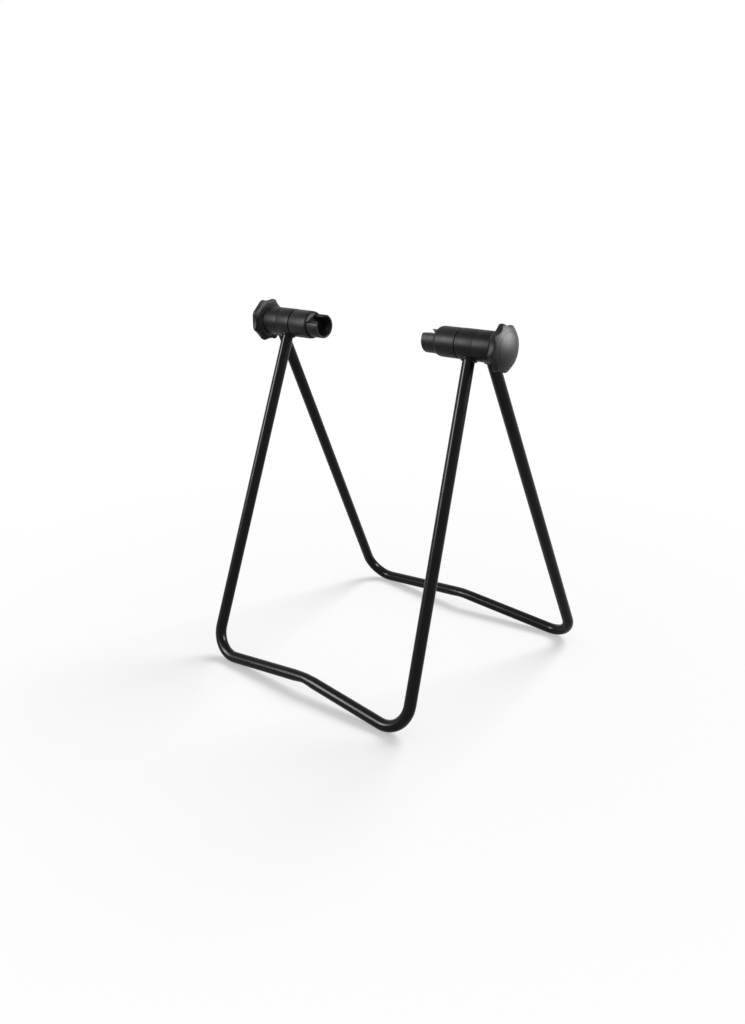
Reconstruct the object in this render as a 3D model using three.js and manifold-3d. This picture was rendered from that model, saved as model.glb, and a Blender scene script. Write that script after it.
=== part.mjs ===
// Folding floor stand that holds a bicycle upright by the two ends of its rear axle.
// Two bent tube frames, one inside the other, swing on a common hub axis. On each side of
// the wheel a spindle passes through both frames. It carries a sprung, slotted cup that
// takes one end of the axle, and a knob that clamps the frames at their open angle.
// Units are millimetres. +X runs along the hub axis, +Z is up, and the floor is at Z = 0.
// On each side, "station" means the distance from the middle of the stand along X.

import * as THREE from 'three';
import { mergeVertices } from 'three/addons/utils/BufferGeometryUtils.js';
import Module from 'manifold-3d';

const wasm = await Module();
wasm.setup();

// ---------------------------------------------------------------------------
// Driving dimensions
// ---------------------------------------------------------------------------

const GAP = 0.3; // running gap between neighbouring pieces

// Frames
const HUB_HEIGHT = 371.05; // hub axis above the floor
const TUBE_DIAMETER = 12.7;
const TUBE_WALL = 1.5;
const CORNER_RADIUS = 28; // centre-line radius of the four floor corners
const KINK_RADIUS = 42; // centre-line radius of the press bend in mid bar
const KINK_LENGTH = 26; // length of bar that the press flattens
const KINK_SQUASH = 1.3; // how much thinner the tube is there
const NEAR_LEAN = 17.87; // degrees from upright
const NEAR_SPLAY = 2.72; // degrees that each leg spreads towards the floor
const NEAR_BAR_SLOPE = 5.99; // degrees that the bar rises towards its middle
const FAR_LEAN = 26.56;
const FAR_SPLAY = 2.07;
const FAR_BAR_SLOPE = 6.39;

// Sleeves, the short steel bushes welded on the leg tops
const SLEEVE_LENGTH = 19.1;
const SLEEVE_WALL = 4.3;
const SLEEVE_CHAMFER = 0.6;
const WELD_LEG = 2.3; // size of the weld fillet round each leg top
const WELD_TOE = 0.5; // what is left of the fillet at its thin end

// Opening stop, a tab on each near sleeve that runs in a notch of the far sleeve
const TAB_ANGLE = 90; // degrees from the +Y side of the sleeve: straight above the legs
const TAB_SPAN = 40; // degrees
const TAB_HEIGHT = 2.6;
const TAB_WALL = 2;

// Axle cups
const CUP_GAP = 141; // clear width between the two cup mouths
const CUP_RADIUS = 12;
const CUP_WALL = 2.5;
const CUP_DEPTH = 15.5;
const CUP_FLOOR = 4;
const CUP_SKIRT = 5; // length of the hollow skirt behind the floor
const CUP_TRAVEL = 13; // how far the cup can be pressed into its barrel
const CUP_EDGE = 0.8; // mouth chamfer
const SLOT_LENGTH = 15;
const SLOT_HEIGHT = 7.2; // height of the slot's cheeks above the hub axis
const KEY_WIDTH = 3.4; // key that stops the cup from turning in its barrel
const KEY_HEIGHT = 1.2;
const KEY_LENGTH = 5.5;
const LEFT_CUP_TURN = 15; // degrees that the left spindle is turned towards the front
const RIGHT_CUP_TURN = 4;

// Spindles
const NOSE_LENGTH = 15.5; // how far the cup stands out of its barrel
const BARREL_RADIUS = 15;
const BARREL_SHOULDER = 2.7; // wall between the cup bore and the clamping shoulder
const BARREL_NOSE = 5; // length of the rounded front edge
const JOURNAL_RADIUS = 10.6;
const WEB_THICKNESS = 3;
const SPRING_LENGTH = 27.4;
const SPRING_RADIUS = 5.6; // mean radius of the coils
const SPRING_WIRE = 1.2;
const SPRING_TURNS = 7; // open turns between the two close end turns
const SPRING_END_PITCH = 1.75;
const CUP_SCREW_RADIUS = 2.3;
const CUP_SCREW_HEAD_RADIUS = 4.2;
const CUP_SCREW_HEAD = 3;
const CUP_SCREW_KEY = 4; // width across the flats of its socket
const INSERT_RADIUS = 7;
const INSERT_LENGTH = 11.5;
const INSERT_GROOVE = 0.7;

// Washers
const BRAKE_WASHER = 0.7;
const THRUST_WASHER = 1.5;
const WASHER_RADIUS = 14.2;

// Knobs
const BOLT_RADIUS = 4;
const BOLT_HEX = 13; // width across the flats of the head
const BOLT_HEAD = 5.3;
const KNOB_SIDES = 8;
const KNOB_CORNER = 23.6; // radius at the lobes
const KNOB_HOLLOW = 21; // radius at the middle of each side
const KNOB_LOBE = 8; // degrees taken by each rounded lobe
const KNOB_HEIGHT = 16.4;
const KNOB_NECK_RADIUS = 15.6;
const KNOB_NECK = 3.9; // length of the flared neck
const KNOB_DOME = 38.5; // spherical radius of the outer face
const KNOB_WEB = 3.9; // plastic between the thrust washer and the bolt head
const KNOB_RIM_ROUND = 0.9;
const LEFT_KNOB_TURN = 0; // degrees that each knob stands turned about the hub axis
const RIGHT_KNOB_TURN = -11;
const CAP_RADIUS = 16.3;
const CAP_WALL = 1.8;
const CAP_SEAT = 6.7; // depth of the cap's seat below the top of the dome

// Facets
const ROUND_SIDES = 24;
const SMALL_SIDES = 16;
const TUBE_SIDES = 18;
const TUBE_BORE_SIDES = 9;
const BEND_STEP = 11; // degrees of bend for each ring of the tube
const DOME_STEPS = 4;
const KNOB_FACETS = 36;
const WIRE_SIDES = 5;
const COIL_STEPS = 8;

// ---------------------------------------------------------------------------
// Values that follow from them
// ---------------------------------------------------------------------------

const rad = THREE.MathUtils.degToRad;
const TUBE_RADIUS = TUBE_DIAMETER / 2;
const CUP_BORE = CUP_RADIUS - CUP_WALL;
const BARREL_BORE = CUP_RADIUS + GAP;
const SPRING_BORE = SPRING_RADIUS + SPRING_WIRE;
const SLEEVE_BORE = JOURNAL_RADIUS + GAP;
const SLEEVE_RADIUS = SLEEVE_BORE + SLEEVE_WALL;
const INSERT_BORE = BOLT_RADIUS + GAP;
const FOLD_ANGLE = NEAR_LEAN + FAR_LEAN;

// Stations along the hub axis, from the middle of the stand outwards
const MOUTH = CUP_GAP / 2;
const CUP_FLOOR_AT = MOUTH + CUP_DEPTH;
const CUP_BACK = CUP_FLOOR_AT + CUP_FLOOR;
const SKIRT_END = CUP_BACK + CUP_SKIRT;
const BARREL_FACE = MOUTH + NOSE_LENGTH;
const BARREL_BORE_END = SKIRT_END + CUP_TRAVEL + GAP;
const SHOULDER = BARREL_BORE_END + BARREL_SHOULDER;
const SPRING_START = CUP_BACK + GAP;
const WEB = SPRING_START + SPRING_LENGTH + GAP;
const WEB_END = WEB + WEB_THICKNESS;
const SCREW_HEAD_AT = WEB_END + GAP;
const BRAKE_WASHER_AT = SHOULDER + GAP;
const NEAR_SLEEVE = BRAKE_WASHER_AT + BRAKE_WASHER + GAP;
const FAR_SLEEVE = NEAR_SLEEVE + SLEEVE_LENGTH + GAP;
const FAR_SLEEVE_END = FAR_SLEEVE + SLEEVE_LENGTH;
const JOURNAL_END = FAR_SLEEVE_END - GAP;
const INSERT_END = JOURNAL_END - GAP;
const INSERT_START = INSERT_END - INSERT_LENGTH;
const THRUST_WASHER_AT = FAR_SLEEVE_END + GAP;
const KNOB_SEAT = THRUST_WASHER_AT + THRUST_WASHER + GAP;
const KNOB_BASE = FAR_SLEEVE_END + 2 * GAP;
const KNOB_TOP = KNOB_BASE + KNOB_HEIGHT;
const BOLT_SEAT = KNOB_SEAT + KNOB_WEB;
const CAP_SEAT_AT = KNOB_TOP - CAP_SEAT;

// ---------------------------------------------------------------------------
// Materials
// ---------------------------------------------------------------------------

const FINISHES = {
  powderCoat: { color: 0x1a1a1c, roughness: 0.28, metalness: 0.1 },
  nylon: { color: 0x242426, roughness: 0.5, metalness: 0 },
  knobPlastic: { color: 0x1f1f21, roughness: 0.42, metalness: 0 },
  brass: { color: 0xb08d3e, roughness: 0.35, metalness: 1 },
  springSteel: { color: 0x9a9a98, roughness: 0.3, metalness: 1 },
  zincPlate: { color: 0xb4b6b8, roughness: 0.35, metalness: 1 },
  acetal: { color: 0x2c2c2e, roughness: 0.55, metalness: 0 },
};

// ---------------------------------------------------------------------------
// Solids
// ---------------------------------------------------------------------------

/** Volume enclosed by a triangle list, negative where its faces point inwards. */
function signedVolume(positions, triangles) {
  const [a, b, c] = [new THREE.Vector3(), new THREE.Vector3(), new THREE.Vector3()];
  let sum = 0;
  for (let i = 0; i < triangles.length; i += 3) {
    a.fromArray(positions, 3 * triangles[i]);
    b.fromArray(positions, 3 * triangles[i + 1]);
    c.fromArray(positions, 3 * triangles[i + 2]);
    sum += a.dot(b.cross(c)) / 6;
  }
  return sum;
}

/** Turns a closed geometry into a solid that can be cut and joined. */
function toSolid(geometry) {
  const bare = geometry.clone();
  bare.deleteAttribute('normal');
  bare.deleteAttribute('uv');
  const merged = mergeVertices(bare);
  const positions = new Float32Array(merged.attributes.position.array);
  const corners = merged.index.array;
  const triangles = [];
  for (let i = 0; i < corners.length; i += 3) {
    const [a, b, c] = corners.slice(i, i + 3);
    if (a !== b && b !== c && c !== a) triangles.push(a, b, c);
  }
  if (signedVolume(positions, triangles) < 0) triangles.reverse();
  const triVerts = new Uint32Array(triangles);
  return new wasm.Manifold(new wasm.Mesh({ numProp: 3, vertProperties: positions, triVerts }));
}

/** A named mesh of a finished solid. */
function piece(name, solid, finish) {
  const { vertProperties, triVerts } = solid.getMesh();
  const geometry = new THREE.BufferGeometry();
  geometry.setAttribute('position', new THREE.BufferAttribute(vertProperties, 3));
  geometry.setIndex(new THREE.BufferAttribute(triVerts, 1));
  geometry.computeVertexNormals();
  const mesh = new THREE.Mesh(geometry, new THREE.MeshStandardMaterial(finish));
  mesh.name = name;
  return mesh;
}

/** Revolves [station, radius] points about the X axis. Off-axis profiles close on themselves. */
function revolve(profile, sides = ROUND_SIDES) {
  const points = profile.map(([station, radius]) => new THREE.Vector2(radius, station));
  const last = points[points.length - 1];
  if (points[0].x > 0 || last.x > 0) points.push(points[0].clone());
  const geometry = new THREE.LatheGeometry(points, sides);
  geometry.rotateZ(-Math.PI / 2);
  return toSolid(geometry);
}

/** A ring about the X axis. */
function ring(from, to, inner, outer, sides = ROUND_SIDES) {
  return revolve([[from, inner], [from, outer], [to, outer], [to, inner]], sides);
}

/** A solid cylinder about the X axis. */
function rod(from, to, radius, sides = ROUND_SIDES) {
  return revolve([[from, 0], [from, radius], [to, radius], [to, 0]], sides);
}

/** Extrudes an outline drawn in the YZ plane along X. */
function prism(shape, from, to, curveSegments = 4) {
  const depth = to - from;
  const geometry = new THREE.ExtrudeGeometry(shape, { depth, curveSegments, bevelEnabled: false });
  geometry.translate(0, 0, from);
  const [x, y, z] = [[1, 0, 0], [0, 1, 0], [0, 0, 1]].map((axis) => new THREE.Vector3(...axis));
  geometry.applyMatrix4(new THREE.Matrix4().makeBasis(y, z, x));
  return toSolid(geometry);
}

/** A sector of a ring about X. Angles are in degrees from +Y towards +Z. */
function sector(from, to, inner, outer, startAngle, endAngle) {
  const shape = new THREE.Shape();
  shape.absarc(0, 0, outer, rad(startAngle), rad(endAngle), false);
  shape.absarc(0, 0, inner, rad(endAngle), rad(startAngle), true);
  return prism(shape, from, to);
}

/** A hexagonal prism about X, sized across its flats. */
function hexagon(from, to, acrossFlats) {
  const shape = new THREE.Shape();
  const cornerRadius = acrossFlats / 2 / Math.cos(Math.PI / 6);
  for (let corner = 0; corner < 6; corner += 1) {
    const angle = (corner * Math.PI) / 3;
    const [y, z] = [cornerRadius * Math.cos(angle), cornerRadius * Math.sin(angle)];
    if (corner === 0) shape.moveTo(y, z);
    else shape.lineTo(y, z);
  }
  return prism(shape, from, to);
}

/** A box given by its lower and upper corners. */
function block([x0, y0, z0], [x1, y1, z1]) {
  const geometry = new THREE.BoxGeometry(x1 - x0, y1 - y0, z1 - z0);
  geometry.translate((x0 + x1) / 2, (y0 + y1) / 2, (z0 + z1) / 2);
  return toSolid(geometry);
}

/** Corner points of a round section. */
function circlePoints(radius, sides) {
  return Array.from({ length: sides }, (_, i) => {
    const angle = (2 * Math.PI * i) / sides;
    return new THREE.Vector2(radius * Math.cos(angle), radius * Math.sin(angle));
  });
}

// ---------------------------------------------------------------------------
// Frame tubes
// ---------------------------------------------------------------------------

/** Sizes of one frame in its own plane, with the hub axis at the origin and -Z down the legs. */
function frameLayout(hubHalfWidth, lean, splay, barSlope) {
  const legAngle = Math.PI / 2 + rad(splay);
  const barAngle = Math.PI - rad(barSlope);
  const half = (barAngle - legAngle) / 2;
  const bisector = (barAngle + legAngle) / 2;
  const bendRise = CORNER_RADIUS * (Math.sin(bisector) / Math.sin(half) - 1);
  const legLength = (HUB_HEIGHT - TUBE_RADIUS) / Math.cos(rad(lean)) + bendRise;
  const floorHalfWidth = hubHalfWidth + legLength * Math.tan(rad(splay));
  const kinkRise = floorHalfWidth * Math.tan(rad(barSlope));
  return { hubHalfWidth, splay, legLength, floorHalfWidth, kinkRise };
}

/** A centre line of straight runs and round bends, with a ring only where the tube needs one. */
class BentLine extends THREE.Curve {
  constructor(corners, bends) {
    super();
    this.stations = [{ point: corners[0], tangent: corners[1].clone().sub(corners[0]).normalize() }];
    bends.forEach((bend, i) => this.addBend(corners[i], corners[i + 1], corners[i + 2], bend));
    const end = corners[corners.length - 1];
    const tangent = end.clone().sub(corners[corners.length - 2]).normalize();
    this.stations.push({ point: end, tangent });
  }

  /** Adds a round bend, with one more ring a lead before it and one after where it has a lead. */
  addBend(before, corner, after, { radius, lead }) {
    const inward = corner.clone().sub(before).normalize();
    const outward = after.clone().sub(corner).normalize();
    const turn = inward.angleTo(outward);
    const start = corner.clone().addScaledVector(inward, -radius * Math.tan(turn / 2));
    const axis = inward.clone().cross(outward).normalize();
    const centre = start.clone().addScaledVector(axis.clone().cross(inward), radius);
    const leadIn = { point: start.clone().addScaledVector(inward, -lead), tangent: inward };
    if (lead > 0) this.stations.push(leadIn);
    const steps = Math.max(2, Math.ceil(turn / rad(BEND_STEP)));
    for (let step = 0; step <= steps; step += 1) {
      const angle = (turn * step) / steps;
      const point = start.clone().sub(centre).applyAxisAngle(axis, angle).add(centre);
      const tangent = inward.clone().applyAxisAngle(axis, angle);
      this.stations.push({ point, tangent });
    }
    const end = this.stations[this.stations.length - 1].point;
    const leadOut = { point: end.clone().addScaledVector(outward, lead), tangent: outward };
    if (lead > 0) this.stations.push(leadOut);
  }

  get runs() {
    return this.stations.length - 1;
  }

  getPointAt(along) {
    return this.stations[Math.round(along * this.runs)].point.clone();
  }

  getTangentAt(along, target = new THREE.Vector3()) {
    return target.copy(this.stations[Math.round(along * this.runs)].tangent);
  }
}

/** Flattens the tube where the press bent it, in mid bar. */
function squashKink(geometry, centreHeight) {
  const position = geometry.attributes.position;
  const reach = KINK_LENGTH / 2;
  for (let i = 0; i < position.count; i += 1) {
    const fade = Math.max(0, 1 - (position.getX(i) / reach) ** 2);
    const scale = 1 - (fade * KINK_SQUASH) / TUBE_DIAMETER;
    const offset = position.getZ(i) - centreHeight;
    position.setZ(i, centreHeight + offset * scale);
  }
}

/** The hollow tube of one frame, coped to fit under its two sleeves. */
function frameTube(layout) {
  const { hubHalfWidth, legLength, floorHalfWidth, kinkRise } = layout;
  const corners = [
    new THREE.Vector3(-hubHalfWidth, 0, 0),
    new THREE.Vector3(-floorHalfWidth, 0, -legLength),
    new THREE.Vector3(0, 0, kinkRise - legLength),
    new THREE.Vector3(floorHalfWidth, 0, -legLength),
    new THREE.Vector3(hubHalfWidth, 0, 0),
  ];
  const floorCorner = { radius: CORNER_RADIUS, lead: 0 };
  const kink = { radius: KINK_RADIUS, lead: KINK_LENGTH / 2 };
  const path = new BentLine(corners, [floorCorner, kink, floorCorner]);
  const section = new THREE.Shape(circlePoints(TUBE_RADIUS, TUBE_SIDES));
  section.holes.push(new THREE.Path(circlePoints(TUBE_RADIUS - TUBE_WALL, TUBE_BORE_SIDES)));
  const geometry = new THREE.ExtrudeGeometry(section, { steps: path.runs, extrudePath: path });
  squashKink(geometry, kinkRise - legLength);
  const reach = hubHalfWidth + 2 * TUBE_DIAMETER;
  const cope = rod(-reach, reach, SLEEVE_RADIUS + GAP);
  return toSolid(geometry).subtract(cope);
}

// ---------------------------------------------------------------------------
// Sleeves
// ---------------------------------------------------------------------------

/** A cone along a leg, from a distance below the hub axis down to another. */
function legCone(layout, side, from, to, upperRadius, lowerRadius) {
  const geometry = new THREE.CylinderGeometry(upperRadius, lowerRadius, to - from, TUBE_SIDES);
  geometry.translate(0, -(from + to) / 2, 0);
  geometry.rotateX(Math.PI / 2);
  geometry.rotateY(-side * rad(layout.splay));
  geometry.translate(side * layout.hubHalfWidth, 0, 0);
  return toSolid(geometry);
}

/** The weld that joins a leg top to its sleeve, following the sleeve's round underside. */
function weld(layout, side) {
  const inside = SLEEVE_RADIUS - SLEEVE_WALL / 2;
  const outside = SLEEVE_RADIUS + WELD_LEG;
  const thick = TUBE_RADIUS + GAP + WELD_LEG;
  const thin = TUBE_RADIUS + GAP + WELD_TOE;
  const centre = side * layout.hubHalfWidth;
  const bead = legCone(layout, side, inside, outside, thick, thin);
  const saddle = rod(centre - SLEEVE_LENGTH, centre + SLEEVE_LENGTH, outside);
  const bore = legCone(layout, side, 0, 2 * outside, TUBE_RADIUS + GAP, TUBE_RADIUS + GAP);
  return bead.intersect(saddle).subtract(bore);
}

/** A plain sleeve between two stations of one side, with its weld. */
function plainSleeve(layout, side, start) {
  const [from, to] = [start, start + SLEEVE_LENGTH];
  const profile = [
    [from, SLEEVE_BORE],
    [from, SLEEVE_RADIUS - SLEEVE_CHAMFER],
    [from + SLEEVE_CHAMFER, SLEEVE_RADIUS],
    [to - SLEEVE_CHAMFER, SLEEVE_RADIUS],
    [to, SLEEVE_RADIUS - SLEEVE_CHAMFER],
    [to, SLEEVE_BORE],
  ];
  const body = revolve(profile.map(([station, radius]) => [side * station, radius]));
  return body.add(weld(layout, side));
}

/** A sector between two stations of one side. */
function sideSector(side, from, to, inner, outer, startAngle, endAngle) {
  const [low, high] = [side * from, side * to].sort((a, b) => a - b);
  return sector(low, high, inner, outer, startAngle, endAngle);
}

const TAB_INNER = SLEEVE_BORE + GAP;
const TAB_OUTER = TAB_INNER + TAB_WALL;
const TAB_FROM = TAB_ANGLE - TAB_SPAN / 2;
const TAB_TO = TAB_ANGLE + TAB_SPAN / 2;

/** A near sleeve, whose outer end carries the stop tab. */
function nearSleeve(layout, side) {
  const end = NEAR_SLEEVE + SLEEVE_LENGTH;
  const root = end - SLEEVE_CHAMFER;
  const tab = sideSector(side, root, end + TAB_HEIGHT, TAB_INNER, TAB_OUTER, TAB_FROM, TAB_TO);
  return plainSleeve(layout, side, NEAR_SLEEVE).add(tab);
}

/** A far sleeve, with the hidden notch that the stop tab runs in as the stand folds. */
function farSleeve(layout, side) {
  const slack = THREE.MathUtils.radToDeg(GAP / TAB_INNER);
  const from = TAB_FROM - FOLD_ANGLE - slack;
  const to = TAB_TO + slack;
  const floor = FAR_SLEEVE + TAB_HEIGHT + GAP;
  const inner = JOURNAL_RADIUS;
  const notch = sideSector(side, FAR_SLEEVE - GAP, floor, inner, TAB_OUTER + GAP, from, to);
  return plainSleeve(layout, side, FAR_SLEEVE).subtract(notch);
}

// ---------------------------------------------------------------------------
// Spindle, cup and spring
// ---------------------------------------------------------------------------

/** The spindle: a barrel that guides the cup, and a journal that passes through both sleeves. */
function spindle() {
  const insertBore = INSERT_RADIUS + GAP;
  const headBore = CUP_SCREW_HEAD_RADIUS + 4 * GAP;
  const screwBore = CUP_SCREW_RADIUS + GAP;
  const insertSeat = INSERT_START - GAP;
  const face = (BARREL_BORE + BARREL_RADIUS) / 2 - 3 * GAP;
  const profile = [
    [BARREL_FACE, BARREL_BORE],
    [BARREL_FACE, face],
    [BARREL_FACE + 0.45 * BARREL_NOSE, (face + 2 * BARREL_RADIUS) / 3],
    [BARREL_FACE + BARREL_NOSE, BARREL_RADIUS],
    [SHOULDER, BARREL_RADIUS],
    [SHOULDER, JOURNAL_RADIUS],
    [JOURNAL_END, JOURNAL_RADIUS],
    [JOURNAL_END, insertBore],
    [insertSeat, insertBore],
    [insertSeat, headBore],
    [WEB_END, headBore],
    [WEB_END, screwBore],
    [WEB, screwBore],
    [WEB, SPRING_BORE],
    [BARREL_BORE_END, SPRING_BORE],
    [BARREL_BORE_END, BARREL_BORE],
  ];
  return revolve(profile).subtract(cupKey(BARREL_FACE - GAP, BARREL_BORE_END, GAP));
}

/** The key under the cup, or with a clearance the keyway that it slides in. */
function cupKey(from, to, clearance) {
  const outer = CUP_RADIUS + KEY_HEIGHT + clearance;
  const halfWidth = KEY_WIDTH / 2 + clearance;
  const inner = CUP_RADIUS - CUP_WALL / 2;
  return block([from, -halfWidth, -outer], [to, halfWidth, -inner]);
}

/** The axle cup: a slotted socket in front, and a skirt behind that takes the spring. */
function axleCup() {
  const bossRadius = SPRING_RADIUS - SPRING_WIRE;
  const bossEnd = SKIRT_END - GAP;
  const screwBore = CUP_SCREW_RADIUS + GAP;
  const screwEnd = CUP_FLOOR_AT + CUP_FLOOR / 2;
  const profile = [
    [CUP_FLOOR_AT, 0],
    [CUP_FLOOR_AT, CUP_BORE],
    [MOUTH + CUP_EDGE, CUP_BORE],
    [MOUTH, CUP_BORE + CUP_EDGE],
    [MOUTH, CUP_RADIUS - CUP_EDGE],
    [MOUTH + CUP_EDGE, CUP_RADIUS],
    [SKIRT_END, CUP_RADIUS],
    [SKIRT_END, SPRING_BORE],
    [CUP_BACK, SPRING_BORE],
    [CUP_BACK, bossRadius],
    [bossEnd, bossRadius],
    [bossEnd, screwBore],
    [screwEnd, screwBore],
    [screwEnd, 0],
  ];
  const slotEnd = MOUTH + SLOT_LENGTH;
  const width = 2 * CUP_RADIUS;
  const slot = block([MOUTH - GAP, -width, SLOT_HEIGHT], [slotEnd, width, width]);
  const key = cupKey(SKIRT_END - KEY_LENGTH, SKIRT_END, 0);
  return revolve(profile).subtract(slot).add(key);
}

/** The shoulder screw that holds the cup against its spring. */
function cupScrew() {
  const start = CUP_FLOOR_AT + CUP_FLOOR / 2 + GAP;
  const end = SCREW_HEAD_AT + CUP_SCREW_HEAD;
  const shank = rod(start, SCREW_HEAD_AT + GAP, CUP_SCREW_RADIUS, SMALL_SIDES);
  const head = rod(SCREW_HEAD_AT, end, CUP_SCREW_HEAD_RADIUS, SMALL_SIDES);
  const socket = hexagon(end - 0.6 * CUP_SCREW_HEAD, end + GAP, CUP_SCREW_KEY);
  return shank.add(head).subtract(socket);
}

/** Centre line of the spring: a close turn at each end and open turns between them. */
function springLine() {
  const start = SPRING_START + SPRING_WIRE / 2;
  const length = SPRING_LENGTH - SPRING_WIRE;
  const turns = SPRING_TURNS + 2;
  const openPitch = (length - 2 * SPRING_END_PITCH) / SPRING_TURNS;
  const points = [];
  for (let step = 0; step <= turns * COIL_STEPS; step += 1) {
    const turn = step / COIL_STEPS;
    const closed = Math.min(turn, 1) + Math.max(0, turn - turns + 1);
    const along = start + closed * SPRING_END_PITCH + (turn - closed) * openPitch;
    const angle = 2 * Math.PI * turn;
    const [y, z] = [SPRING_RADIUS * Math.cos(angle), SPRING_RADIUS * Math.sin(angle)];
    points.push(new THREE.Vector3(along, y, z));
  }
  return points;
}

/** Smallest clear gap between turns of a wound wire, measured between its centre points. */
function leastGap(points, wire) {
  let least = Infinity;
  for (let i = 0; i < points.length; i += 1) {
    for (let j = i + COIL_STEPS / 2; j < points.length; j += 1) {
      least = Math.min(least, points[i].distanceTo(points[j]) - wire);
    }
  }
  return least;
}

/** Lengthens a line at both ends by a straight run of one wire diameter. */
function withStraightEnds(points, length) {
  const first = points[0].clone().sub(points[1]).setLength(length).add(points[0]);
  const last = points[points.length - 1];
  const before = points[points.length - 2];
  const end = last.clone().sub(before).setLength(length).add(last);
  return [first, ...points, end];
}

/** One unbroken wire of small flat sides along a line of points about the X axis. */
function wire(points, diameter) {
  const positions = [];
  const index = [];
  points.forEach((point, i) => {
    const next = points[Math.min(i + 1, points.length - 1)];
    const previous = points[Math.max(i - 1, 0)];
    const tangent = next.clone().sub(previous).normalize();
    const outward = new THREE.Vector3(0, point.y, point.z).normalize();
    const across = tangent.clone().cross(outward).normalize();
    const up = across.clone().cross(tangent);
    for (let side = 0; side < WIRE_SIDES; side += 1) {
      const angle = (2 * Math.PI * side) / WIRE_SIDES;
      const corner = point.clone().addScaledVector(up, (diameter / 2) * Math.cos(angle));
      corner.addScaledVector(across, (diameter / 2) * Math.sin(angle));
      positions.push(corner.x, corner.y, corner.z);
    }
  });
  const lastRing = WIRE_SIDES * (points.length - 1);
  for (let base = 0; base < lastRing; base += WIRE_SIDES) {
    for (let side = 0; side < WIRE_SIDES; side += 1) {
      const [a, b] = [base + side, base + ((side + 1) % WIRE_SIDES)];
      index.push(a, b, a + WIRE_SIDES, b, b + WIRE_SIDES, a + WIRE_SIDES);
    }
  }
  for (let side = 1; side < WIRE_SIDES - 1; side += 1) {
    index.push(0, side + 1, side, lastRing, lastRing + side, lastRing + side + 1);
  }
  const geometry = new THREE.BufferGeometry();
  geometry.setAttribute('position', new THREE.Float32BufferAttribute(positions, 3));
  geometry.setIndex(index);
  return toSolid(geometry);
}

/** The compression spring that pushes the cup out. */
function cupSpring() {
  const points = springLine();
  console.log(`least gap between spring turns: ${leastGap(points, SPRING_WIRE).toFixed(2)} mm`);
  return wire(withStraightEnds(points, SPRING_WIRE), SPRING_WIRE);
}

/** The brass insert in the end of the journal, grooved so that the plastic grips it. */
function threadedInsert() {
  const third = INSERT_LENGTH / 3;
  const grooveFrom = INSERT_START + third;
  const grooveTo = INSERT_END - third;
  const profile = [
    [INSERT_START, INSERT_BORE],
    [INSERT_START, INSERT_RADIUS],
    [grooveFrom, INSERT_RADIUS],
    [grooveFrom + INSERT_GROOVE, INSERT_RADIUS - INSERT_GROOVE],
    [grooveTo - INSERT_GROOVE, INSERT_RADIUS - INSERT_GROOVE],
    [grooveTo, INSERT_RADIUS],
    [INSERT_END, INSERT_RADIUS],
    [INSERT_END, INSERT_BORE],
  ];
  return revolve(profile, SMALL_SIDES);
}

// ---------------------------------------------------------------------------
// Knob
// ---------------------------------------------------------------------------

/** Station of the dome's surface at a radius. */
function domeAt(radius) {
  return KNOB_TOP - KNOB_DOME + Math.sqrt(KNOB_DOME ** 2 - radius ** 2);
}

/** Dome profile from one radius to another, a depth below the surface. */
function domeArc(fromRadius, toRadius, depth) {
  return Array.from({ length: DOME_STEPS + 1 }, (_, i) => {
    const radius = THREE.MathUtils.lerp(fromRadius, toRadius, i / DOME_STEPS);
    return [domeAt(radius) - depth, radius];
  });
}

/** Outline of the knob: round lobes joined by sides that curve in. */
function knobOutline() {
  const shape = new THREE.Shape();
  const pitch = (2 * Math.PI) / KNOB_SIDES;
  const half = rad(KNOB_LOBE) / 2;
  const lobeTip = KNOB_CORNER / Math.cos(half);
  const hollowTip = 2 * KNOB_HOLLOW - KNOB_CORNER * Math.cos(pitch / 2 - half);
  const at = (radius, angle) => [radius * Math.cos(angle), radius * Math.sin(angle)];
  shape.moveTo(...at(KNOB_CORNER, pitch / 2 - half));
  for (let corner = 0; corner < KNOB_SIDES; corner += 1) {
    const angle = pitch * (corner + 0.5);
    shape.quadraticCurveTo(...at(lobeTip, angle), ...at(KNOB_CORNER, angle + half));
    const next = at(KNOB_CORNER, angle + pitch - half);
    shape.quadraticCurveTo(...at(hollowTip, angle + pitch / 2), ...next);
  }
  return shape;
}

/** Profile of the knob's turned form: flared neck, rim and dome. */
function knobProfile() {
  const rim = KNOB_CORNER + KNOB_RIM_ROUND;
  const flareEnd = KNOB_BASE + KNOB_NECK;
  const flare = new THREE.QuadraticBezierCurve(
    new THREE.Vector2(KNOB_BASE, KNOB_NECK_RADIUS),
    new THREE.Vector2(flareEnd - KNOB_RIM_ROUND, KNOB_NECK_RADIUS + KNOB_RIM_ROUND),
    new THREE.Vector2(flareEnd, KNOB_HOLLOW),
  );
  return [
    [KNOB_BASE, 0],
    ...flare.getPoints(DOME_STEPS).map(({ x, y }) => [x, y]),
    [flareEnd, KNOB_CORNER - KNOB_RIM_ROUND],
    [flareEnd + KNOB_RIM_ROUND, rim],
    ...domeArc(rim, 0, 0),
  ];
}

/** The knob body, with its washer recess, bolt bore, hexagonal pocket and cap seat. */
function knobBody() {
  const turned = revolve(knobProfile(), KNOB_FACETS);
  const outline = prism(knobOutline(), KNOB_BASE - GAP, KNOB_TOP + GAP, 3);
  const washerSeat = rod(KNOB_BASE - GAP, KNOB_SEAT, WASHER_RADIUS + GAP);
  const bore = rod(KNOB_BASE, CAP_SEAT_AT, BOLT_RADIUS + GAP, SMALL_SIDES);
  const pocket = hexagon(BOLT_SEAT, CAP_SEAT_AT + GAP, BOLT_HEX + 2 * GAP);
  const capSeat = rod(CAP_SEAT_AT, KNOB_TOP + GAP, CAP_RADIUS + GAP);
  const cuts = washerSeat.add(bore).add(pocket).add(capSeat);
  return turned.intersect(outline).subtract(cuts);
}

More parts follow.
